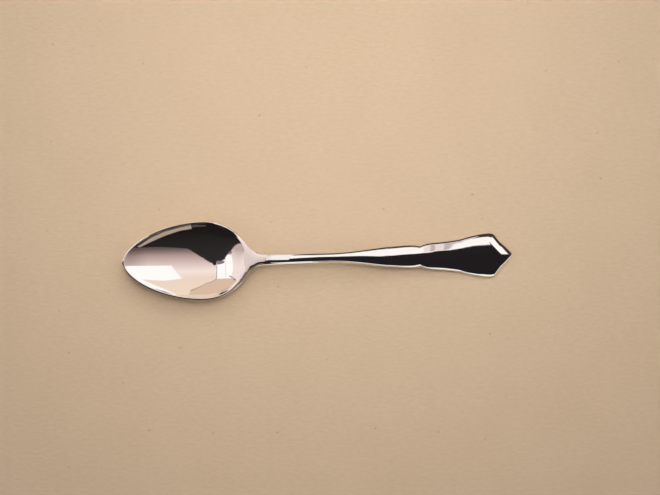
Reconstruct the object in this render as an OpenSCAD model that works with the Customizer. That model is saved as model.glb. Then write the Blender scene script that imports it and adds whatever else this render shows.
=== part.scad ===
// Demitasse spoon with a pointed egg bowl, a slim round stem and a flared handle with a scalloped edge.
// It lies along X: the tip of the bowl is at -X, the point of the handle at +X, the table is z = 0.
// Every cross-section is drawn in a plane across X and the sections are joined into a closed skin.
// Bowl, stem and handle share the section at each boundary, so they meet face to face.

/* [Overall] */
// Length from the tip of the bowl to the point of the handle
length = 110; // [102:1:122]
// Height of the edge line where the stem arches highest
arch_height = 7; // [6.6:0.1:8.2]

/* [Bowl] */
// Widest breadth of the bowl
bowl_width = 22.3; // [19.5:0.1:24.5]
// Length of the egg outline that the bowl is cut from
bowl_length = 36.7; // [34.5:0.1:39]
// Distance from the tip to the widest place
widest = 22.6; // [20:0.1:24.5]
// Distance from the tip to the deepest place
deepest = 25; // [21:0.1:27]
// Depth of the hollow below the rim
bowl_depth = 5; // [4.4:0.1:5.8]
// Wall under the deepest place
bowl_wall = 1; // [0.8:0.05:1.4]
// Breadth of the rounded outer half of the rim
rim_land = 0.5; // [0.3:0.05:0.7]
// Height of that rounding, above the upright band and below it
rim_round = 0.25; // [0.15:0.05:0.4]
// Height of the upright band around the rim
rim_side = 0.35; // [0.25:0.05:0.6]

/* [Stem] */
// Distance from the end of the egg outline to the neck, where the shoulders have run out
neck_reach = 2.9; // [2:0.1:5]
// Breadth where the bowl runs out into the stem
neck_width = 3.4; // [3:0.1:4.4]
// Breadth of the stem at its slimmest
stem_width = 2.9; // [2.4:0.1:3.6]
// Rise of the rounded top of the stem above its edge line
stem_crown = 1.15; // [0.8:0.05:1.5]
// Fall of the rounded underside of the stem below its edge
stem_under = 0.9; // [0.6:0.05:1.2]
// Height of the upright band along the stem
stem_side = 0.3; // [0.2:0.05:0.5]

/* [Handle] */
// Length of the flared handle, from the stem to its point
handle_length = 38; // [32:0.5:46]
// Widest breadth of the handle, near its end
handle_width = 12.6; // [10.5:0.1:14.5]
// Rise of the rounding along the upper edge of the handle
handle_round = 0.55; // [0.35:0.05:0.7]
// Breadth of that rounding
round_run = 0.95; // [0.6:0.05:1.2]
// Rise of the bevel from the edge to the flat middle of the handle
handle_crown = 0.5; // [0.3:0.05:0.8]
// Breadth of the bevel
bevel_width = 2.8; // [2.2:0.1:3.4]
// Height of the upright band along the edge of the handle
handle_side = 0.45; // [0.3:0.05:0.8]
// Height of the rounding under the edge of the handle
handle_under = 0.35; // [0.2:0.05:0.6]

/* [Hidden] */

// Egg outline: how full and how blunt it is at the tip and at the heel
tip_full = 1.85;
tip_blunt = 1.7;
heel_full = 2.05;
heel_blunt = 1.62;
half_bowl = bowl_width / 2;
// Half breadths left square at the tip of the bowl and at the point of the handle
tip_flat = 0.6;
point_flat = 0.7;

// Stations along the spoon, measured from the tip
rim_stop = 0.74 * bowl_length;
shoulder = 0.954 * bowl_length;
heel = 0.98 * bowl_length;
neck = bowl_length + neck_reach;
hollow_end = bowl_length + 1.5 * neck_reach;
cut = length - handle_length;
stem_length = cut - neck;
belly_end = neck + 0.05 * stem_length;
mid_stem = neck + 0.13 * stem_length;
crest = neck + 0.48 * stem_length;
slimmest = neck + 0.57 * stem_length;

// Stations of the scalloped edge, as shares of the handle's length
first_corner = cut + 0.068 * handle_length;
swell = cut + 0.242 * handle_length;
cusp = cut + 0.317 * handle_length;
lobe = cut + 0.421 * handle_length;
step = cut + 0.617 * handle_length;
flare = cut + 0.826 * handle_length;
foot = cut + 0.843 * handle_length;
corner = cut + 0.857 * handle_length;
end_start = cut + 0.875 * handle_length;
nick = cut + 0.921 * handle_length;

// Half breadths of the handle along its scalloped edge
half_handle = handle_width / 2;
first_half = 0.457 * half_handle;
swell_half = 0.52 * half_handle;
cusp_half = 0.465 * half_handle;
lobe_half = 0.617 * half_handle;
step_half = 0.75 * half_handle;
corner_half = 0.98 * half_handle;
end_half = 0.937 * half_handle;
nick_half = 0.579 * half_handle;
// Half breadths of the smooth line that the bevel is struck from, before the scallops are cut
bevel_start = 0.39 * half_handle;
bevel_swell = 0.535 * half_handle;
bevel_lobe = 0.635 * half_handle;
bevel_step = 0.78 * half_handle;
end_slope = (point_flat - end_half) / (length - end_start);

// Smooth curve through two values with a given slope at each
function bend(t, a, b, da, db) =
    a * (1 + 2 * t) * pow(1 - t, 2) + da * t * pow(1 - t, 2)
    + b * t * t * (3 - 2 * t) + db * t * t * (t - 1);

// Value at a station from a list of [station, value, slope before, slope after]
function along(keys, s) =
    let (i = max([for (k = [0 : len(keys) - 2]) if (k == 0 || s >= keys[k][0]) k]))
    let (a = keys[i], b = keys[i + 1], h = b[0] - a[0])
    bend((s - a[0]) / h, a[1], b[1], a[3] * h, b[2] * h);

// Keys with no slope at any of them
function level(pairs) = [for (p = pairs) [p[0], p[1], 0, 0]];

function clamp(v) = max(0, min(1, v));

// Egg outline of the bowl
function egg(s) =
    s < widest
    ? half_bowl * pow(1 - pow((widest - s) / widest, tip_full), 1 / tip_blunt)
    : half_bowl * pow(1 - pow((s - widest) / (bowl_length - widest), heel_full), 1 / heel_blunt);

small = 0.001;
egg_slope = (egg(shoulder + small) - egg(shoulder - small)) / (2 * small);

// Outline behind the shoulder, with the scallops of the handle and its pointed end
outline = [
    [shoulder, egg(shoulder), egg_slope, egg_slope],
    [neck, neck_width / 2, -0.02, -0.02],
    [slimmest, stem_width / 2, 0, 0],
    [first_corner, first_half, 0.11, 0.03],
    [swell, swell_half, 0, 0],
    [cusp, cusp_half, -0.28, 0.45],
    [lobe, lobe_half, 0.06, 0.06],
    [step, step_half, 0.16, 0.3],
    [flare, half_handle, 0.06, 0.06],
    [corner, corner_half, -0.35, -0.35],
    [end_start, end_half, -1.2, -1.2],
    [nick, nick_half, -1.2, -0.8],
    [length, point_flat, end_slope, end_slope]
];
bevel_line = [
    [cut, bevel_start, 0.11, 0.11],
    [swell, bevel_swell, 0.055, 0.055],
    [lobe, bevel_lobe, 0.11, 0.11],
    [step, bevel_step, 0.2, 0.2],
    [flare, half_handle, 0.06, 0.06],
    [corner, corner_half, -0.35, -0.35],
    [end_start, end_half, end_slope, end_slope],
    [length, point_flat, end_slope, end_slope]
];
function half_width(s) = s < shoulder ? max(tip_flat, egg(s)) : along(outline, s);
function bevel_half(s) = s > cut ? along(bevel_line, s) : half_width(s);

// Cosine of the angle between the axis and an outline that has the given two half breadths close to s
function lean(s, before, after) =
    1 / sqrt(1 + pow((after - before) / (min(length, s + small) - max(0, s - small)), 2));
function edge_lean(s) = lean(s, half_width(max(0, s - small)), half_width(min(length, s + small)));
function bevel_lean(s) = lean(s, bevel_half(max(0, s - small)), bevel_half(min(length, s + small)));

// Height of the edge line: level round the bowl, a low arch along the stem, level again at the foot
tip_lift = 0.3;
neck_lift = 0.45;
rim_edge = bowl_depth + bowl_wall - rim_round;
foot_edge = handle_side + handle_under;
edge_keys = [
    [deepest, rim_edge, 0, 0],
    [neck, rim_edge + neck_lift, 0.06, 0.06],
    [crest, arch_height, 0, 0],
    [foot, foot_edge, 0, 0],
    [length, foot_edge, 0, 0]
];
function edge_height(s) =
    s < deepest ? rim_edge + tip_lift * pow((deepest - s) / deepest, 2) : along(edge_keys, s);

// Section sizes that change along the spoon
crown_keys = level([
    [0, rim_round],
    [rim_stop, rim_round],
    [mid_stem, stem_crown],
    [cut, stem_crown],
    [cusp, handle_round],
    [length, handle_round]
]);
crown_run_keys = level([
    [0, rim_land],
    [rim_stop, rim_land],
    [mid_stem, bevel_width],
    [cut, bevel_width],
    [cusp, round_run],
    [length, round_run]
]);
// How soft the rounding is: a quarter ellipse at 1, flatter above it where the bowl runs out
heel_soft = 1.8;
soft_keys = level([
    [0, 1],
    [rim_stop, 1],
    [heel, heel_soft],
    [mid_stem, 1],
    [length, 1]
]);
// Breadth of the rim outside the hollow
lip_keys = level([
    [0, rim_land],
    [rim_stop, rim_land],
    [neck, 0],
    [length, 0]
]);
bevel_keys = level([
    [0, 0],
    [cut, 0],
    [cusp, handle_crown],
    [length, handle_crown]
]);
side_keys = level([
    [0, rim_side],
    [shoulder, rim_side],
    [mid_stem, stem_side],
    [cut, stem_side],
    [cusp, handle_side],
    [length, handle_side]
]);
under_keys = level([
    [0, rim_round],
    [rim_stop, rim_round],
    [mid_stem, stem_under],
    [slimmest, stem_under],
    [swell, handle_under],
    [length, handle_under]
]);
under_run_keys = level([
    [0, rim_land],
    [rim_stop, rim_land],
    [mid_stem, bevel_width],
    [slimmest, bevel_width],
    [swell, handle_side],
    [length, handle_side]
]);

// Depth of the hollow and of the belly below it along the middle of the bowl
belly_depth = rim_edge - rim_side - rim_round;
lip_soft = 1.02;
hollow_fade = 3;
belly_fade = 2.75;
function fore(s, start) = 1 - pow(clamp((deepest - s) / (deepest - start)), 2);
function aft(s, stop, fade) = pow(1 - pow(clamp((s - deepest) / (stop - deepest)), 2), fade);
function hollow(s) = bowl_depth * (s < deepest ? fore(s, rim_land) : aft(s, hollow_end, hollow_fade));
function belly(s) = belly_depth * (s < deepest ? fore(s, 0) : aft(s, belly_end, belly_fade));

// Distance in from the outline, also from the two straight lines that the pointed end is struck from
end_run = sqrt(pow(length - end_start, 2) + pow(end_half - point_flat, 2));
function from_end(s, y) =
    ((end_half - point_flat) * (length - s) - (length - end_start) * (y - point_flat)) / end_run;
function within_end(s, y, d) = max(0, min(d, s > cusp ? from_end(s, y) : length));
function inset(s, y) = within_end(s, y, (half_width(s) - y) * edge_lean(s));
function bevel_inset(s, y) = within_end(s, y, (bevel_half(s) - y) * bevel_lean(s));

// Quarter-ellipse rise from 0 at the edge to 1 at the given run, and the nearly straight rise of the bevel
bevel_soft = 1.4;
function rise(d, r) = sqrt(1 - pow(1 - clamp(d / r), 2));
function slope_up(d, r) = 1 - pow(1 - clamp(d / r), bevel_soft);
function reach(s, run) = s > flare ? run : min(run, half_width(s) * edge_lean(s));
function bevel_reach(s) = s > flare ? bevel_width : min(bevel_width, bevel_half(s) * bevel_lean(s));
function bowl_form(y, half, soft) = half > y ? pow(1 - pow(y / half, 2), soft) : 0;

function rounding(s, y) =
    along(crown_keys, s) * pow(rise(inset(s, y), reach(s, along(crown_run_keys, s))), along(soft_keys, s));
function top(s, y) =
    edge_height(s) + rounding(s, y)
    + along(bevel_keys, s) * slope_up(bevel_inset(s, y), bevel_reach(s))
    - hollow(s) * bowl_form(y, half_width(s) - along(lip_keys, s), lip_soft);
function bottom(s, y) =
    edge_height(s) - along(side_keys, s)
    - along(under_keys, s) * rise(inset(s, y), reach(s, along(under_run_keys, s)))
    - belly(s) * bowl_form(y, half_width(s), 1);

// Places across a section, closer together towards the edge
top_steps = 11;
bottom_steps = 8;
edge_crowding = 0.8;
function across(n) =
    [for (i = [-n : n]) (1 - edge_crowding) * i / n + edge_crowding * sin(90 * i / n)];
top_places = across(top_steps);
bottom_places = across(bottom_steps);
ring_size = len(top_places) + len(bottom_places);

function section(s) =
    let (w = half_width(s), x = s - length / 2)
    concat(
        [for (u = top_places) [x, w * u, top(s, w * abs(u))]],
        [for (u = bottom_places) [x, -w * u, bottom(s, w * abs(u))]]
    );

// Closed skin over a list of stations, capped flat at both ends
function quad(a, b, c, d, flip) = flip ? [[a, b, d], [b, c, d]] : [[a, b, c], [a, c, d]];
module skin(stations) {
    n = ring_size;
    last = len(stations) - 1;
    half_top = top_steps;
    half_all = len(top_places) + bottom_steps;
    points = [for (s = stations) each section(s)];
    walls = [
        for (k = [0 : last - 1])
            for (i = [0 : n - 1])
                let (j = (i + 1) % n, a = k * n, b = (k + 1) * n)
                each quad(a + i, a + j, b + j, b + i, i >= half_top && i < half_all)
    ];
    first_cap = [[for (i = [n - 1 : -1 : 0]) i]];
    last_cap = [[for (i = [0 : n - 1]) last * n + i]];
    polyhedron(points = points, faces = concat(walls, first_cap, last_cap), convexity = 6);
}

// Stations from one place to another, leaving out the last
function evenly(a, b, n) = [for (i = [0 : n - 1]) a + (b - a) * i / n];
function from_tip(b, n) = [for (i = [0 : n - 1]) b * (1 - cos(90 * i / n))];

bowl_stations = concat(from_tip(widest, 17), evenly(widest, neck, 18), [neck]);
stem_stations = concat(evenly(neck, mid_stem, 4), evenly(mid_stem, cut, 12), [cut]);
handle_stations = concat(
    evenly(cut, first_corner, 2),
    evenly(first_corner, swell, 5),
    evenly(swell, cusp, 4),
    evenly(cusp, lobe, 5),
    evenly(lobe, step, 6),
    evenly(step, flare, 8),
    evenly(flare, corner, 4),
    evenly(corner, end_start, 4),
    evenly(end_start, nick, 5),
    evenly(nick, length, 8),
    [length]
);

module bowl() {
    color([0.9, 0.89, 0.86])
        skin(bowl_stations);
}

module stem() {
    color([0.82, 0.81, 0.79])
        skin(stem_stations);
}

module handle() {
    color([0.74, 0.73, 0.72])
        skin(handle_stations);
}

bowl();
stem();
handle();
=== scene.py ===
"""Demitasse spoon: the dressed model, the paper it lies on, a plain studio and the camera.

The spoon's skin is made again from the same cross-sections as the solids, on a finer grid, because
polished metal shows every facet. Lengths of the spoon are in millimetres until the mesh is written,
and stations along it are measured from the tip of the bowl. Everything else is in metres, apart from
the studio's boards, whose tables say how their corners are given.
"""

import math

import bpy
from mathutils import Matrix, Vector


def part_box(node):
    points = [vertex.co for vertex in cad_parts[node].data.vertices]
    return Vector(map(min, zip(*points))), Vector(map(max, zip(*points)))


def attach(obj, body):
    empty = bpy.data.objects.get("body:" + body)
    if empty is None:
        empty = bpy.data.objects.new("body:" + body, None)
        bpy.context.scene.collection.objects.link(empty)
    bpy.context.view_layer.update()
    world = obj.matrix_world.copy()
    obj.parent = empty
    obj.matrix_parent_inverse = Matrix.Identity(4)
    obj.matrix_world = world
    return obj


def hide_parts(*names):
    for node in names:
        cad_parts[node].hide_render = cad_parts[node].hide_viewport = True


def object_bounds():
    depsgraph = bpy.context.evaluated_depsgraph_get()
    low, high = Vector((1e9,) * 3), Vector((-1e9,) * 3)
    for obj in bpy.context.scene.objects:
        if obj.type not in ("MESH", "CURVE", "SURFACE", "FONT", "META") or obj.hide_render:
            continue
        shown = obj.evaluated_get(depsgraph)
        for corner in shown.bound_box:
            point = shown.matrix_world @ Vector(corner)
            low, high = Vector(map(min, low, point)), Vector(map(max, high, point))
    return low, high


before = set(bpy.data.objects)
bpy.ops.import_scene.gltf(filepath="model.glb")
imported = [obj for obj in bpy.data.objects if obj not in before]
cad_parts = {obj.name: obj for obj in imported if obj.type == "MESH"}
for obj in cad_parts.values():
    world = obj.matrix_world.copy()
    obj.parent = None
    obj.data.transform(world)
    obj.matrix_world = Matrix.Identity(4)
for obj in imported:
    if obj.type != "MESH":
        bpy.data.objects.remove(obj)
cad_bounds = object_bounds()
MM = 0.001

# Sizes that the solids give, in millimetres
spoon_low, spoon_high = cad_bounds
bowl_low, bowl_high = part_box("bowl")
handle_low, handle_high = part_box("handle")
LENGTH = (spoon_high[0] - spoon_low[0]) / MM
BOWL_WIDTH = (bowl_high[1] - bowl_low[1]) / MM
HANDLE_WIDTH = (handle_high[1] - handle_low[1]) / MM
NECK = (bowl_high[0] - spoon_low[0]) / MM
CUT = (handle_low[0] - spoon_low[0]) / MM

# Bowl
BOWL_LENGTH = 36.7
WIDEST = 22.6
DEEPEST = 25.0
BOWL_DEPTH = 5.0
BOWL_WALL = 1.0
RIM_LAND = 0.5
RIM_ROUND = 0.25
RIM_SIDE = 0.35
TIP_FULL = 1.85
TIP_BLUNT = 1.7
HEEL_FULL = 2.05
HEEL_BLUNT = 1.62
TIP_FLAT = 0.6
TIP_LIFT = 0.3
LIP_SOFT = 1.02
HOLLOW_FADE = 3.0
BELLY_FADE = 2.75
HEEL_SOFT = 1.8

# Stem
ARCH_HEIGHT = 7.0
NECK_WIDTH = 3.4
NECK_LIFT = 0.45
STEM_WIDTH = 2.9
STEM_CROWN = 1.15
STEM_UNDER = 0.9
STEM_SIDE = 0.3

# Handle
HANDLE_CROWN = 0.5
BEVEL_SOFT = 1.4
HANDLE_ROUND = 0.55
ROUND_RUN = 0.95
BEVEL_WIDTH = 2.8
HANDLE_SIDE = 0.45
HANDLE_UNDER = 0.35
POINT_FLAT = 0.7

# Stations along the spoon
STEM_LENGTH = CUT - NECK
HANDLE_LENGTH = LENGTH - CUT
SHOULDER = 0.954 * BOWL_LENGTH
RIM_STOP = 0.74 * BOWL_LENGTH
HEEL = 0.98 * BOWL_LENGTH
HOLLOW_END = BOWL_LENGTH + 1.5 * (NECK - BOWL_LENGTH)
BELLY_END = NECK + 0.05 * STEM_LENGTH
MID_STEM = NECK + 0.13 * STEM_LENGTH
CREST = NECK + 0.48 * STEM_LENGTH
SLIMMEST = NECK + 0.57 * STEM_LENGTH
FIRST_CORNER = CUT + 0.068 * HANDLE_LENGTH
SWELL = CUT + 0.242 * HANDLE_LENGTH
CUSP = CUT + 0.317 * HANDLE_LENGTH
LOBE = CUT + 0.421 * HANDLE_LENGTH
STEP = CUT + 0.617 * HANDLE_LENGTH
FLARE = CUT + 0.826 * HANDLE_LENGTH
FOOT = CUT + 0.843 * HANDLE_LENGTH
CORNER = CUT + 0.857 * HANDLE_LENGTH
END_START = CUT + 0.875 * HANDLE_LENGTH
NICK = CUT + 0.921 * HANDLE_LENGTH
HALF_HANDLE = HANDLE_WIDTH / 2
END_HALF = 0.937 * HALF_HANDLE
END_SLOPE = (POINT_FLAT - END_HALF) / (LENGTH - END_START)
END_RUN = math.hypot(LENGTH - END_START, END_HALF - POINT_FLAT)
NUDGE = 0.001


def clamp(value):
    return max(0.0, min(1.0, value))


def along(keys, s):
    """Smooth value at a station from (station, value, slope before, slope after)."""
    i = 0
    while i < len(keys) - 2 and s >= keys[i + 1][0]:
        i += 1
    (s0, a, _, slope_a), (s1, b, slope_b, _) = keys[i], keys[i + 1]
    h = s1 - s0
    t = (s - s0) / h
    start = a * (1 + 2 * t) + slope_a * h * t
    stop = b * (3 - 2 * t) + slope_b * h * (t - 1)
    return start * (1 - t) ** 2 + stop * t * t


def level(*pairs):
    """Keys with no slope at any of them."""
    return [(s, value, 0.0, 0.0) for s, value in pairs]


def egg(s):
    """Half breadth of the bowl's egg outline."""
    half = BOWL_WIDTH / 2
    if s < WIDEST:
        return half * max(0.0, 1 - ((WIDEST - s) / WIDEST) ** TIP_FULL) ** (1 / TIP_BLUNT)
    return half * max(0.0, 1 - ((s - WIDEST) / (BOWL_LENGTH - WIDEST)) ** HEEL_FULL) ** (1 / HEEL_BLUNT)


EGG_SLOPE = (egg(SHOULDER + NUDGE) - egg(SHOULDER - NUDGE)) / (2 * NUDGE)
OUTLINE = [
    (SHOULDER, egg(SHOULDER), EGG_SLOPE, EGG_SLOPE),
    (NECK, NECK_WIDTH / 2, -0.02, -0.02),
    (SLIMMEST, STEM_WIDTH / 2, 0.0, 0.0),
    (FIRST_CORNER, 0.457 * HALF_HANDLE, 0.11, 0.03),
    (SWELL, 0.52 * HALF_HANDLE, 0.0, 0.0),
    (CUSP, 0.465 * HALF_HANDLE, -0.28, 0.45),
    (LOBE, 0.617 * HALF_HANDLE, 0.06, 0.06),
    (STEP, 0.75 * HALF_HANDLE, 0.16, 0.3),
    (FLARE, HALF_HANDLE, 0.06, 0.06),
    (CORNER, 0.98 * HALF_HANDLE, -0.35, -0.35),
    (END_START, END_HALF, -1.2, -1.2),
    (NICK, 0.579 * HALF_HANDLE, -1.2, -0.8),
    (LENGTH, POINT_FLAT, END_SLOPE, END_SLOPE),
]
BEVEL_LINE = [
    (CUT, 0.39 * HALF_HANDLE, 0.11, 0.11),
    (SWELL, 0.535 * HALF_HANDLE, 0.055, 0.055),
    (LOBE, 0.635 * HALF_HANDLE, 0.11, 0.11),
    (STEP, 0.78 * HALF_HANDLE, 0.2, 0.2),
    (FLARE, HALF_HANDLE, 0.06, 0.06),
    (CORNER, 0.98 * HALF_HANDLE, -0.35, -0.35),
    (END_START, END_HALF, END_SLOPE, END_SLOPE),
    (LENGTH, POINT_FLAT, END_SLOPE, END_SLOPE),
]
RIM_EDGE = BOWL_DEPTH + BOWL_WALL - RIM_ROUND
FOOT_EDGE = HANDLE_SIDE + HANDLE_UNDER
BELLY_DEPTH = RIM_EDGE - RIM_SIDE - RIM_ROUND
EDGE_KEYS = [
    (DEEPEST, RIM_EDGE, 0.0, 0.0),
    (NECK, RIM_EDGE + NECK_LIFT, 0.06, 0.06),
    (CREST, ARCH_HEIGHT, 0.0, 0.0),
    (FOOT, FOOT_EDGE, 0.0, 0.0),
    (LENGTH, FOOT_EDGE, 0.0, 0.0),
]
CROWN = level(
    (0, RIM_ROUND), (RIM_STOP, RIM_ROUND), (MID_STEM, STEM_CROWN),
    (CUT, STEM_CROWN), (CUSP, HANDLE_ROUND), (LENGTH, HANDLE_ROUND),
)
CROWN_RUN = level(
    (0, RIM_LAND), (RIM_STOP, RIM_LAND), (MID_STEM, BEVEL_WIDTH),
    (CUT, BEVEL_WIDTH), (CUSP, ROUND_RUN), (LENGTH, ROUND_RUN),
)
FULLNESS = level((0, 1.0), (RIM_STOP, 1.0), (HEEL, HEEL_SOFT), (MID_STEM, 1.0), (LENGTH, 1.0))
LIP = level((0, RIM_LAND), (RIM_STOP, RIM_LAND), (NECK, 0.0), (LENGTH, 0.0))
BEVEL = level((0, 0.0), (CUT, 0.0), (CUSP, HANDLE_CROWN), (LENGTH, HANDLE_CROWN))
SIDE = level(
    (0, RIM_SIDE), (SHOULDER, RIM_SIDE), (MID_STEM, STEM_SIDE),
    (CUT, STEM_SIDE), (CUSP, HANDLE_SIDE), (LENGTH, HANDLE_SIDE),
)
UNDER = level(
    (0, RIM_ROUND), (RIM_STOP, RIM_ROUND), (MID_STEM, STEM_UNDER),
    (SLIMMEST, STEM_UNDER), (SWELL, HANDLE_UNDER), (LENGTH, HANDLE_UNDER),
)
UNDER_RUN = level(
    (0, RIM_LAND), (RIM_STOP, RIM_LAND), (MID_STEM, BEVEL_WIDTH),
    (SLIMMEST, BEVEL_WIDTH), (SWELL, HANDLE_SIDE), (LENGTH, HANDLE_SIDE),
)


def half_width(s):
    return max(TIP_FLAT, egg(s)) if s < SHOULDER else along(OUTLINE, s)


def bevel_half(s):
    """Half breadth of the smooth line that the bevel is struck from, before the scallops are cut."""
    return along(BEVEL_LINE, s) if s > CUT else half_width(s)


def lean(breadth, s):
    """Cosine of the angle between an outline and the spoon's axis."""
    a, b = max(0.0, s - NUDGE), min(LENGTH, s + NUDGE)
    return 1 / math.hypot(1.0, (breadth(b) - breadth(a)) / (b - a))


def edge_height(s):
    if s < DEEPEST:
        return RIM_EDGE + TIP_LIFT * ((DEEPEST - s) / DEEPEST) ** 2
    return along(EDGE_KEYS, s)


def fall(s, start, stop, fade):
    """Share of the full depth along the middle of the bowl, for the hollow or the belly."""
    if s < DEEPEST:
        return 1 - clamp((DEEPEST - s) / (DEEPEST - start)) ** 2
    return (1 - clamp((s - DEEPEST) / (stop - DEEPEST)) ** 2) ** fade


def rise(distance, run):
    """Quarter ellipse from 0 at the edge to 1 at the given run."""
    return math.sqrt(1 - (1 - clamp(distance / run)) ** 2)


def slope_up(distance, run):
    """Bevel from 0 at the edge to 1 at the given run, nearly straight with a soft inner end."""
    return 1 - (1 - clamp(distance / run)) ** BEVEL_SOFT


def bowl_form(y, half, soft):
    return (1 - (y / half) ** 2) ** soft if half > y else 0.0


def section(s, top_places, bottom_places):
    """Closed ring of points round the spoon at one station, in millimetres."""
    half = half_width(s)
    edge_lean = lean(half_width, s)
    bevel_edge, bevel_lean = bevel_half(s), lean(bevel_half, s)
    edge = edge_height(s)
    crown, crown_run = along(CROWN, s), along(CROWN_RUN, s)
    bevel, bevel_run = along(BEVEL, s), BEVEL_WIDTH
    under, under_run = along(UNDER, s), along(UNDER_RUN, s)
    if s <= FLARE:
        crown_run = min(crown_run, half * edge_lean)
        bevel_run = min(bevel_run, bevel_edge * bevel_lean)
        under_run = min(under_run, half * edge_lean)
    hollow = BOWL_DEPTH * fall(s, RIM_LAND, HOLLOW_END, HOLLOW_FADE)
    belly = BELLY_DEPTH * fall(s, 0.0, BELLY_END, BELLY_FADE)
    side = along(SIDE, s)
    fullness = along(FULLNESS, s)
    hollow_half = half - along(LIP, s)

    def inset(y, breadth=half, slant=edge_lean):
        distance = (breadth - y) * slant
        if s > CUSP:
            to_end = (END_HALF - POINT_FLAT) * (LENGTH - s) - (LENGTH - END_START) * (y - POINT_FLAT)
            distance = min(distance, to_end / END_RUN)
        return max(0.0, distance)

    ring = []
    for u in top_places:
        y = half * abs(u)
        z = edge + crown * rise(inset(y), crown_run) ** fullness
        z += bevel * slope_up(inset(y, bevel_edge, bevel_lean), bevel_run)
        z -= hollow * bowl_form(y, hollow_half, LIP_SOFT)
        ring.append(Vector((s, half * u, z)))
    for u in bottom_places:
        y = half * abs(u)
        z = edge - side - under * rise(inset(y), under_run) - belly * bowl_form(y, half, 1.0)
        ring.append(Vector((s, -half * u, z)))
    return ring


def across(steps, crowding=0.9):
    """Places from one edge to the other, closer together towards the edges."""
    return [
        (1 - crowding) * i / steps + crowding * math.sin(math.pi / 2 * i / steps)
        for i in range(-steps, steps + 1)
    ]


def evenly(a, b, count):
    return [a + (b - a) * i / count for i in range(count)]


def from_tip(b, count):
    return [b * (1 - math.cos(math.pi / 2 * i / count)) for i in range(count)]


BOWL_STATIONS = from_tip(WIDEST, 60) + evenly(WIDEST, NECK, 64)
STEM_STATIONS = evenly(NECK, CUT, 60)
HANDLE_STATIONS = (
    evenly(CUT, FIRST_CORNER, 8) + evenly(FIRST_CORNER, SWELL, 18) + evenly(SWELL, CUSP, 12)
    + evenly(CUSP, LOBE, 16) + evenly(LOBE, STEP, 20) + evenly(STEP, FLARE, 26)
    + evenly(FLARE, CORNER, 10) + evenly(CORNER, END_START, 10)
    + evenly(END_START, NICK, 14) + evenly(NICK, LENGTH, 22) + [LENGTH]
)


def ring_normals(rings):
    """Unit normals of the skin at every ring point, from its neighbours in both directions."""
    count = len(rings[0])
    normals = []
    for k, ring in enumerate(rings):
        before, after = rings[max(0, k - 1)], rings[min(len(rings) - 1, k + 1)]
        row = []
        for i in range(count):
            round_ring = ring[(i + 1) % count] - ring[i - 1]
            row.append((after[i] - before[i]).cross(round_ring).normalized())
        normals.append(row)
    return normals


def skin_piece(name, rings, normals, material):
    """Closed mesh over a run of rings, with the whole spoon's normals so that no seam shows."""
    count = len(rings[0])
    last = len(rings) - 1
    shift = Vector((-LENGTH / 2, 0.0, 0.0))
    points = [(point + shift) * MM for ring in rings for point in ring]
    faces = []
    for k in range(last):
        for i in range(count):
            j = (i + 1) % count
            a, b = k * count, (k + 1) * count
            faces.append((a + i, b + i, b + j, a + j))
    walls = len(faces)
    faces.append(tuple(range(count)))
    faces.append(tuple(last * count + i for i in reversed(range(count))))
    mesh = bpy.data.meshes.new(name)
    mesh.from_pydata(points, [], faces)
    mesh.update()
    flat = [n for row in normals for n in row]
    loops = []
    for polygon in mesh.polygons:
        polygon.use_smooth = polygon.index < walls
        for vertex in polygon.vertices:
            loops.append(flat[vertex] if polygon.index < walls else polygon.normal.copy())
    mesh.normals_split_custom_set(loops)
    mesh.materials.append(material)
    piece = bpy.data.objects.new(name, mesh)
    bpy.context.collection.objects.link(piece)
    return piece


def set_sockets(shader, sockets):
    for key, value in sockets.items():
        shader.inputs[key].default_value = value


def node(tree, kind, sockets=None, **settings):
    """New shader node with its settings, then the constants on its input sockets."""
    made = tree.nodes.new(kind)
    for key, value in settings.items():
        setattr(made, key, value)
    set_sockets(made, sockets or {})
    return made


def new_material(name):
    material = bpy.data.materials.new(name)
    material.use_nodes = True
    return material, material.node_tree


SILVER_COLOR = (0.93, 0.91, 0.88, 1.0)


def silver_material():
    """Polished silver with a faint warm tone, a gloss that varies a little and fine scratches."""
    material, tree = new_material("polished_silver")
    shader = tree.nodes["Principled BSDF"]
    set_sockets(shader, {"Metallic": 1.0, "Base Color": SILVER_COLOR})
    place = node(tree, "ShaderNodeTexCoord")

    smudge = node(tree, "ShaderNodeTexNoise", {"Scale": 90.0, "Detail": 5.0})
    tree.links.new(place.outputs["Object"], smudge.inputs["Vector"])
    gloss = node(
        tree, "ShaderNodeMapRange", {"From Min": 0.35, "From Max": 0.75, "To Min": 0.025, "To Max": 0.07}
    )
    tree.links.new(smudge.outputs["Fac"], gloss.inputs["Value"])
    tree.links.new(gloss.outputs["Result"], shader.inputs["Roughness"])

    stretch = node(
        tree, "ShaderNodeMapping", {"Scale": (220.0, 2600.0, 2600.0), "Rotation": (0.0, 0.0, 0.35)}
    )
    tree.links.new(place.outputs["Object"], stretch.inputs["Vector"])
    scratch = node(tree, "ShaderNodeTexNoise", {"Scale": 1.0, "Detail": 2.0})
    tree.links.new(stretch.outputs["Vector"], scratch.inputs["Vector"])
    bump = node(tree, "ShaderNodeBump", {"Strength": 0.02, "Distance": 0.00002})
    tree.links.new(scratch.outputs["Fac"], bump.inputs["Height"])
    tree.links.new(bump.outputs["Normal"], shader.inputs["Normal"])
    return material


PAPER_DARK = (0.60, 0.447, 0.303, 1.0)
PAPER_LIGHT = (0.66, 0.497, 0.345, 1.0)
SPECK_COLOR = (0.25, 0.17, 0.10, 1.0)


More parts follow.
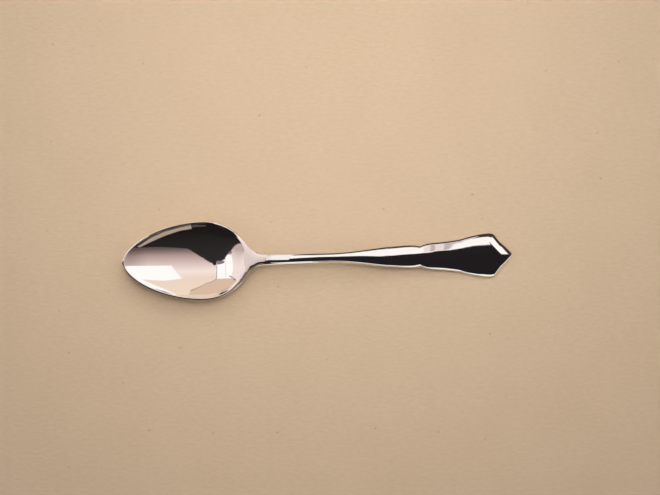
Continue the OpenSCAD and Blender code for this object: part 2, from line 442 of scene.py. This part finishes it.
def paper_material():
    """Beige drawing paper: a fine tooth drawn out along X, faint clouds and a few darker specks."""
    material, tree = new_material("beige_paper")
    shader = tree.nodes["Principled BSDF"]
    set_sockets(shader, {"Roughness": 0.9, "Specular IOR Level": 0.1})
    place = node(tree, "ShaderNodeTexCoord")

    cloud = node(tree, "ShaderNodeTexNoise", {"Scale": 60.0, "Detail": 3.0})
    tree.links.new(place.outputs["Object"], cloud.inputs["Vector"])
    stretch = node(tree, "ShaderNodeMapping", {"Scale": (500.0, 1400.0, 1400.0)})
    tree.links.new(place.outputs["Object"], stretch.inputs["Vector"])
    tooth = node(tree, "ShaderNodeTexNoise", {"Scale": 1.0, "Detail": 3.0, "Roughness": 0.6})
    tree.links.new(stretch.outputs["Vector"], tooth.inputs["Vector"])
    grain = node(tree, "ShaderNodeMix", {"Factor": 0.7})
    tree.links.new(cloud.outputs["Fac"], grain.inputs["A"])
    tree.links.new(tooth.outputs["Fac"], grain.inputs["B"])
    tint = node(tree, "ShaderNodeValToRGB")
    low, high = tint.color_ramp.elements
    low.position, low.color = 0.3, PAPER_DARK
    high.position, high.color = 0.7, PAPER_LIGHT
    tree.links.new(grain.outputs["Result"], tint.inputs["Fac"])

    cells = node(tree, "ShaderNodeTexVoronoi", {"Scale": 45.0}, voronoi_dimensions="2D")
    tree.links.new(place.outputs["Object"], cells.inputs["Vector"])
    spot = node(
        tree, "ShaderNodeMapRange", {"From Min": 0.004, "From Max": 0.022, "To Min": 0.5, "To Max": 0.0}
    )
    tree.links.new(cells.outputs["Distance"], spot.inputs["Value"])
    strength = node(tree, "ShaderNodeMath", operation="MULTIPLY")
    tree.links.new(spot.outputs["Result"], strength.inputs[0])
    tree.links.new(cells.outputs["Color"], strength.inputs[1])
    specks = node(tree, "ShaderNodeMix", {"B": SPECK_COLOR}, data_type="RGBA")
    tree.links.new(strength.outputs["Value"], specks.inputs["Factor"])
    tree.links.new(tint.outputs["Color"], specks.inputs["A"])
    tree.links.new(specks.outputs["Result"], shader.inputs["Base Color"])

    bump = node(tree, "ShaderNodeBump", {"Strength": 0.25, "Distance": 0.0002})
    tree.links.new(tooth.outputs["Fac"], bump.inputs["Height"])
    tree.links.new(bump.outputs["Normal"], shader.inputs["Normal"])
    return material


def glow_material(name, color, strength):
    """Surface that shines evenly in one colour."""
    material, tree = new_material(name)
    tree.nodes.clear()
    out = node(tree, "ShaderNodeOutputMaterial")
    glow = node(tree, "ShaderNodeEmission", {"Color": (*color, 1.0), "Strength": strength})
    tree.links.new(glow.outputs["Emission"], out.inputs["Surface"])
    return material


def fading_glow(name, direction, near, near_color, far, far_color):
    """Glow that runs evenly from one colour to another between two places along a direction."""
    material = glow_material(name, near_color, 1.0)
    tree = material.node_tree
    place = node(tree, "ShaderNodeTexCoord")
    measure = node(tree, "ShaderNodeVectorMath", {1: direction}, operation="DOT_PRODUCT")
    tree.links.new(place.outputs["Object"], measure.inputs[0])
    share = node(tree, "ShaderNodeMapRange", {"From Min": near, "From Max": far})
    tree.links.new(measure.outputs["Value"], share.inputs["Value"])
    ramp = node(tree, "ShaderNodeValToRGB")
    ramp.color_ramp.elements[0].color = (*near_color, 1.0)
    ramp.color_ramp.elements[1].color = (*far_color, 1.0)
    tree.links.new(share.outputs["Result"], ramp.inputs["Fac"])
    tree.links.new(ramp.outputs["Color"], tree.nodes["Emission"].inputs["Color"])
    return material


def board(name, corners, material):
    """Flat board of the studio that only polished surfaces see."""
    mesh = bpy.data.meshes.new(name)
    mesh.from_pydata(corners, [], [tuple(range(len(corners)))])
    mesh.materials.append(material)
    made = bpy.data.objects.new(name, mesh)
    bpy.context.collection.objects.link(made)
    made.visible_camera = False
    made.visible_diffuse = False
    made.visible_shadow = False


# The spoon
TOP_STEPS = 44
BOTTOM_STEPS = 30
top_places = across(TOP_STEPS)
bottom_places = across(BOTTOM_STEPS)
stations = BOWL_STATIONS + STEM_STATIONS + HANDLE_STATIONS
all_rings = [section(s, top_places, bottom_places) for s in stations]
all_normals = ring_normals(all_rings)
silver = silver_material()
first_stem = len(BOWL_STATIONS)
first_handle = first_stem + len(STEM_STATIONS)
runs = {
    "bowl": (0, first_stem + 1),
    "stem": (first_stem, first_handle + 1),
    "handle": (first_handle, len(stations)),
}
for node_name, (start, stop) in runs.items():
    piece = skin_piece(node_name + "_skin", all_rings[start:stop], all_normals[start:stop], silver)
    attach(piece, "root")
    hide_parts(node_name)

# The paper
FLOOR_SIZE = 4.0


def paper_floor():
    """Sheet of paper that the spoon lies on, at z = 0."""
    half = FLOOR_SIZE / 2
    corners = [(-half, -half, 0), (half, -half, 0), (half, half, 0), (-half, half, 0)]
    mesh = bpy.data.meshes.new("paper")
    mesh.from_pydata(corners, [], [(0, 1, 2, 3)])
    mesh.materials.append(paper_material())
    floor = bpy.data.objects.new("paper", mesh)
    bpy.context.collection.objects.link(floor)


paper_floor()

# What the polished metal mirrors: windows, walls, a dark board and cards close to the spoon.
# A plain glow has a colour and a strength.
PLAIN_GLOWS = {
    "window_glow": ((1.0, 0.985, 0.98), 1.08),
    "pane_glow": ((1.0, 0.985, 0.99), 1.06),
    "card_glow": ((1.0, 0.97, 0.96), 1.05),
    "dark_board": ((0.015, 0.0125, 0.0145), 1.0),
    "dark_skirting": ((0.06, 0.04, 0.036), 1.0),
    "beige_wall": ((0.74, 0.54, 0.41), 1.0),
    "table_edge": ((0.45, 0.36, 0.30), 1.0),
    "table_shade": ((0.11, 0.09, 0.085), 1.0),
    "grey_board": ((0.24, 0.20, 0.22), 1.0),
    "window_frame": ((0.16, 0.12, 0.12), 1.0),
    "window_bar": ((0.56, 0.62, 0.68), 1.0),
    "heel_skirting": ((0.98, 0.85, 0.81), 1.0),
    "far_skirting": ((0.84, 0.65, 0.53), 1.0),
    "gap_in_card": ((0.88, 0.76, 0.76), 1.0),
    "gap_shade": ((0.54, 0.45, 0.44), 1.0),
}
# A fading glow has a direction, then two places along it in metres, each with its colour
ALONG_X = (1.0, 0.0, 0.0)
ALONG_Y = (0.0, 1.0, 0.0)
OVER_BOWL = (-0.35, 0.94, 0.0)
OVER_HEEL = (0.78, 0.63, 0.0)
FADING_GLOWS = {
    "dark_board_fade": (OVER_BOWL, -2.1, (0.013, 0.0105, 0.01), 0.2, (0.031, 0.026, 0.027)),
    "neck_wall": (ALONG_Y, -0.005, (0.58, 0.44, 0.43), 0.006, (0.98, 0.86, 0.82)),
    "neck_shade": (ALONG_Y, -0.003, (0.20, 0.155, 0.115), -0.0021, (0.02, 0.016, 0.016)),
    "heel_side_wall": (OVER_HEEL, -2.45, (0.56, 0.42, 0.40), -1.37, (0.95, 0.80, 0.77)),
    "neck_card": (ALONG_X, -0.0185, (0.84, 0.72, 0.69), -0.0155, (0.98, 0.94, 0.96)),
}
glows = {name: glow_material(name, *glow) for name, glow in PLAIN_GLOWS.items()}
glows.update({name: fading_glow(name, *fade) for name, fade in FADING_GLOWS.items()})

# Boards overhead: name, layers above the common height, glow, corners in degrees from straight up
OVERHEAD = 0.9
LAYER = 0.01
BOWL_CENTRE = (-0.03, 0.0)
OVERHEAD_BOARDS = [
    (
        "beige_wall", 2, "beige_wall",
        [(-29, 55), (-5, 61), (14, 73), (22, 80), (22, 87), (-87, 87), (-79, 77), (-72, 70), (-59, 63)],
    ),
    (
        "dark_board", 1, "dark_board_fade",
        [
            (42, -46), (28, -41), (10, -33), (0, -1), (-2, 6), (-9, 15), (-19, 15), (-21, 2), (-49, 3),
            (-51, -10), (-57, -23), (-65, -40), (-71, -57), (-75, -65), (-84, -78), (-85, -86),
            (-10, -84), (12, -78), (24, -75), (36, -71), (43, -62), (44, -50),
        ],
    ),
    ("grey_board_right", -2, "grey_board", [(-21, 2), (-48, 3), (-47, 12), (-35, 14), (-22, 14)]),
    ("grey_board_left", -2, "grey_board", [(-56, -20), (-60, -31), (-65, -40), (-64, -27)]),
    (
        "window_right", 0, "window_glow",
        [(18, 13), (30, 15), (48, 22), (50, 60), (28, 55), (15, 48)],
    ),
    (
        "window_right_low", 0, "window_glow",
        [(44, 57), (50, 55), (72, 55), (78, 85), (40, 85), (41, 74), (43, 66)],
    ),
    ("pane_left", 0, "pane_glow", [(-21, 17), (-30, 55), (-50, 60), (-50, -3), (-35, 4)]),
    (
        "window_left", -1, "window_glow",
        [(-50, -8), (-50, 60), (-60, 63), (-72, 70), (-64, 16), (-63, -18), (-57, -22)],
    ),
    (
        "heel_side_wall", 1.5, "heel_side_wall",
        [
            (-60, 62), (-72, 70), (-80, 77), (-86, 70), (-86, -70),
            (-75, -65), (-71, -58), (-66, -50), (-60, -40), (-50, -25),
        ],
    ),
    (
        "window_bar", -2, "window_bar",
        [
            (-50.5, -5), (-51, 19), (-53.5, 41), (-59.5, 60),
            (-60.5, 60), (-54.5, 41), (-52, 19), (-51.5, -5),
        ],
    ),
    (
        "skirting_right", -2, "window_frame",
        [(-67, 61), (-73, 69), (-79, 77), (-80, 79), (-74, 71), (-67, 63)],
    ),
    ("frame_upright", -2, "window_frame", [(-20, 16), (-28.5, 55), (-30.5, 55), (-21.5, 16)]),
    (
        "skirting_line", -2, "window_frame",
        [(-30, 54), (-5, 60.5), (14, 73), (14, 74), (-5, 61.5), (-30, 55.5)],
    ),
    (
        "table_edge", -1, "table_edge",
        [
            (42, -49), (42, -63), (38, -70), (26, -74), (11, -76),
            (10, -72), (23, -70), (33, -64), (38, -54), (40, -46),
        ],
    ),
    ("table_shade", -1, "table_shade", [(9, -76), (-28, -77.5), (-27, -76.5), (9, -74)]),
]


def overhead(name, angles, height, material):
    """Board over the bowl, its corners given in degrees from straight up towards +X and +Y."""
    corners = [
        (
            BOWL_CENTRE[0] + height * math.tan(math.radians(ax)),
            BOWL_CENTRE[1] + height * math.tan(math.radians(ay)),
            height,
        )
        for ax, ay in angles
    ]
    board(name, corners, material)


for name, layer, glow, angles in OVERHEAD_BOARDS:
    overhead(name, angles, OVERHEAD + layer * LAYER, glows[glow])

# Heights of the cards close to the spoon
CARD_HEIGHT = 0.035
GAP_HEIGHT = 0.0345
GAP_SHADE_HEIGHT = 0.034
NECK_CARD_HEIGHT = 0.02
STEM_CARD_HEIGHT = 0.012
NECK_WALL_HEIGHT = 0.01
HEEL_WALL_HEIGHT = 0.0075
NECK_SHADE_HEIGHT = 0.0074
RIM_CARD_HEIGHT = 0.0064
FLOOR_CARD_HEIGHT = 0.0005

# Rim cards: name, glow, first and last station, steps, distances in from the outline
RIM_CARDS = [
    ("rim_shade", "dark_board", 7.5, 26.0, 30, 0.6, -0.05),
    ("rim_shade_right", "dark_board", 26.0, 32.0, 12, 0.65, 0.3),
    ("rim_light", "card_glow", 26.0, 32.0, 12, 0.29, -0.8),
]

# Edges that neighbouring cards share, and the low cards: name, glow, height, corners in millimetres
DARK_EDGE = [
    (-12, -2), (-7.5, 2), (1, 6.5), (11, 6), (20, 5.5), (28, 2), (38, 3.6), (45, 3.3), (46, 5.8),
    (48.5, 3.9), (51.5, 4.8), (54, 8), (55.5, 9.4), (58, 6.8), (60, 5), (70, 4),
]
NEAR_EDGE = [
    (-10, -75), (28, -74), (40, -70), (43, -55), (46.5, -46), (48, -37), (51, -38),
    (110, -50), (300, -88),
]
FAR_EDGE = [
    (69, 10), (66, 14.5), (63, 18), (57, 20.5), (50.5, 21.6), (48.3, 21.7), (48, 39), (32, 41),
    (21, 46), (7, 37), (-12, 33),
]
LOW_CARDS = [
    (
        "dark_card", "dark_board", CARD_HEIGHT,
        [(-12, -75)] + NEAR_EDGE[1:] + [(300, 5)] + DARK_EDGE[::-1],
    ),
    ("pale_card", "card_glow", CARD_HEIGHT, DARK_EDGE + FAR_EDGE),
    (
        "near_card", "card_glow", CARD_HEIGHT,
        [(-10, -130), (20, -130), (20, -250), (300, -250)] + NEAR_EDGE[::-1],
    ),
    (
        "far_strip", "dark_skirting", CARD_HEIGHT,
        FAR_EDGE[::-1] + [(70, 5), (300, 5), (300, 900), (-12, 900)],
    ),
    ("near_strip", "dark_skirting", CARD_HEIGHT, [(-20, -900), (300, -900), (300, -251), (-20, -251)]),
    ("end_strip", "dark_skirting", CARD_HEIGHT, [(301, -900), (600, -900), (600, 900), (301, 900)]),
    ("gap_card", "gap_in_card", GAP_HEIGHT, [(42.5, 8), (47.6, 7), (47.6, 32), (42.5, 32)]),
    ("gap_shade_left", "gap_shade", GAP_SHADE_HEIGHT, [(43.8, 8), (44.8, 8), (44.8, 32), (43.8, 32)]),
    ("gap_shade_right", "gap_shade", GAP_SHADE_HEIGHT, [(46.7, 8), (47.6, 8), (47.6, 32), (46.7, 32)]),
    (
        "neck_wall", "neck_wall", NECK_WALL_HEIGHT,
        [(-26.5, -10), (-19.5, -10), (-17.5, -3.8), (-15.6, -2.2), (-15.6, 10), (-26.5, 10)],
    ),
    (
        "heel_wall", "neck_wall", HEEL_WALL_HEIGHT,
        [(-26, -9), (-19, -9), (-19, 9), (-24, 9), (-24, 5), (-26, 4)],
    ),
    (
        "stem_near_card", "card_glow", STEM_CARD_HEIGHT,
        [(-15.5, -11), (-2, -11), (-2, -60), (-15.5, -130)],
    ),
    ("stem_floor_card", "card_glow", FLOOR_CARD_HEIGHT, [(-16, -14), (0, -14), (0, -140), (-16, -140)]),
    (
        "neck_shade", "neck_shade", NECK_SHADE_HEIGHT,
        [
            (-27, -9), (-27, -3.4), (-24.3, -2.3), (-22.5, -2.4), (-21.2, -2.7),
            (-20, -1.6), (-18.4, -1.7), (-17, -1.25), (-15.7, -1), (-15.6, -9),
        ],
    ),
    (
        "neck_card", "neck_card", NECK_CARD_HEIGHT,
        [(-18.5, -6.5), (-17, -3.5), (-9.8, -4.6), (-9.8, 27), (-18.5, 27)],
    ),
]


def low_card(name, corners_mm, height, material):
    """Board just above the spoon, its corners given in millimetres."""
    board(name, [(x * MM, y * MM, height) for x, y in corners_mm], material)


def rim_side(first, last, steps, inset):
    """Points above the far side of the bowl's rim, at one distance in from its outline."""
    points = []
    for i in range(steps + 1):
        s = first + (last - first) * i / steps
        slope = (half_width(s + NUDGE) - half_width(s - NUDGE)) / (2 * NUDGE)
        run = inset / math.hypot(1.0, slope)
        points.append((s + run * slope - LENGTH / 2, half_width(s) - run))
    return points


def rim_card(name, material, first, last, steps, inner, outer):
    """Narrow card above the far side of the bowl's rim, between two distances in from its outline."""
    corners = rim_side(first, last, steps, inner) + rim_side(first, last, steps, outer)[::-1]
    low_card(name, corners, RIM_CARD_HEIGHT, material)


for name, glow, *span in RIM_CARDS:
    rim_card(name, glows[glow], *span)
for name, glow, height, corners_mm in LOW_CARDS:
    low_card(name, corners_mm, height, glows[glow])

# Upright boards at the far and near walls: name, glow, wall, corners along the wall and up it
FAR_WALL = 1.5
NEAR_WALL = -1.2
SKIRTINGS = [
    ("far_skirting", "far_skirting", FAR_WALL, [(-0.8, 0), (3, 0), (3, 0.27), (0, 0.27), (-0.8, 0.06)]),
    (
        "heel_skirting", "heel_skirting", FAR_WALL,
        [(-4, 0), (-0.9, 0), (-1.2, 0.12), (-1.8, 0.28), (-4, 0.6)],
    ),
    ("near_skirting", "dark_skirting", NEAR_WALL, [(-1.5, 0), (1.5, 0), (1.5, 0.16), (-1.5, 0.16)]),
]
for name, glow, wall, corners in SKIRTINGS:
    board(name, [(x, wall, z) for x, z in corners], glows[glow])

# Room light: even and soft for the paper, and wall tones from the near to the far side for the metal
ROOM_COLOR = (1.0, 0.985, 0.97, 1.0)
ROOM_STRENGTH = 0.16
WALL_TONES = [
    (-1.0, (0.02, 0.015, 0.014)), (-0.9, (0.06, 0.042, 0.04)), (-0.7, (0.11, 0.08, 0.075)),
    (-0.55, (0.14, 0.10, 0.095)), (-0.42, (0.28, 0.20, 0.19)), (-0.28, (0.46, 0.34, 0.32)),
    (0.0, (0.66, 0.51, 0.48)), (0.3, (0.85, 0.70, 0.67)), (0.5, (0.98, 0.84, 0.79)),
    (0.75, (0.90, 0.72, 0.62)), (1.0, (0.92, 0.76, 0.60)),
]


def room_light():
    """Even light for the paper, and mirrored walls that dim a little towards the end of the handle."""
    world = bpy.data.worlds.new("room")
    bpy.context.scene.world = world
    world.use_nodes = True
    tree = world.node_tree
    tree.nodes.clear()
    out = node(tree, "ShaderNodeOutputWorld")
    even = node(tree, "ShaderNodeBackground", {"Color": ROOM_COLOR, "Strength": ROOM_STRENGTH})
    mirrored = node(tree, "ShaderNodeBackground")
    path = node(tree, "ShaderNodeLightPath")
    pick = node(tree, "ShaderNodeMixShader")
    tree.links.new(path.outputs["Is Glossy Ray"], pick.inputs["Fac"])
    tree.links.new(even.outputs["Background"], pick.inputs[1])
    tree.links.new(mirrored.outputs["Background"], pick.inputs[2])
    tree.links.new(pick.outputs["Shader"], out.inputs["Surface"])

    direction = node(tree, "ShaderNodeTexCoord")
    split = node(tree, "ShaderNodeSeparateXYZ")
    tree.links.new(direction.outputs["Generated"], split.inputs["Vector"])
    falloff = node(
        tree, "ShaderNodeMapRange", {"From Min": 0.5, "From Max": 0.62, "To Min": 1.0, "To Max": 0.7}
    )
    tree.links.new(split.outputs["X"], falloff.inputs["Value"])
    tree.links.new(falloff.outputs["Result"], mirrored.inputs["Strength"])
    depth = node(tree, "ShaderNodeMapRange", {"From Min": -1.0, "From Max": 1.0})
    tree.links.new(split.outputs["Y"], depth.inputs["Value"])
    ramp = node(tree, "ShaderNodeValToRGB")
    tones = ramp.color_ramp.elements
    while len(tones) < len(WALL_TONES):
        tones.new(0.5)
    for tone, (side, color) in zip(tones, WALL_TONES):
        tone.position = (side + 1) / 2
        tone.color = (*color, 1.0)
    tree.links.new(depth.outputs["Result"], ramp.inputs["Fac"])
    tree.links.new(ramp.outputs["Color"], mirrored.inputs["Color"])


room_light()

# Lamps: a soft-edged spot from above the far side, and three soft lamps on the far side, right and left
LAMP_COLOR = (1.0, 0.985, 0.965)
KEY_PLACE = (0.02, 0.09, 0.55)
KEY_AIM = Vector((0.0, 0.044, 0.0))
KEY_CONE = math.radians(36)
KEY_BLEND = 1.0
KEY_RADIUS = 0.1
KEY_POWER = 6.7
# Soft lamps: name, place, power in watts, width
SOFT_LAMPS = [
    ("fill", (0.0, 0.5, 0.5), 2.3, 0.6),
    ("side", (0.45, 0.15, 0.45), 0.9, 0.5),
    ("left", (-0.8, -0.3, 0.8), 2.6, 0.5),
]


def hang(name, data, place):
    """Lamp in its place, kept out of the mirror image."""
    data.color = LAMP_COLOR
    made = bpy.data.objects.new(name, data)
    made.location = place
    made.visible_glossy = False
    bpy.context.collection.objects.link(made)
    return made


def key_lamp():
    data = bpy.data.lights.new("key", "SPOT")
    data.spot_size = KEY_CONE
    data.spot_blend = KEY_BLEND
    data.shadow_soft_size = KEY_RADIUS
    data.energy = KEY_POWER
    key = hang("key", data, KEY_PLACE)
    key.rotation_euler = (KEY_AIM - key.location).to_track_quat("-Z", "Y").to_euler()


def soft_lamp(name, place, power, width):
    data = bpy.data.lights.new(name, "AREA")
    data.shape = "SQUARE"
    data.size = width
    data.energy = power
    hang(name, data, place)


key_lamp()
for soft in SOFT_LAMPS:
    soft_lamp(*soft)

# Camera: nearly straight down, leaning a little to the near side
VIEW_DISTANCE = 0.6
VIEW_LEAN = math.radians(3.5)
VIEW_ROLL = math.radians(-1.37)
VIEW_WIDTH = 0.1862
VIEW_TARGET = Vector((0.00356, 0.00293, 0.005))


def place_camera():
    data = bpy.data.cameras.new("camera")
    data.sensor_fit = "HORIZONTAL"
    data.angle = 2 * math.atan(VIEW_WIDTH / 2 / VIEW_DISTANCE)
    camera = bpy.data.objects.new("camera", data)
    backward = Vector((0.0, -math.sin(VIEW_LEAN), math.cos(VIEW_LEAN)))
    right = Vector((math.cos(VIEW_ROLL), math.sin(VIEW_ROLL), 0.0))
    right = (right - backward * right.dot(backward)).normalized()
    up = backward.cross(right)
    pose = Matrix((right, up, backward)).transposed().to_4x4()
    pose.translation = VIEW_TARGET + backward * VIEW_DISTANCE
    camera.matrix_world = pose
    bpy.context.collection.objects.link(camera)
    bpy.context.scene.camera = camera


place_camera()
bpy.context.scene.view_settings.view_transform = "Standard"
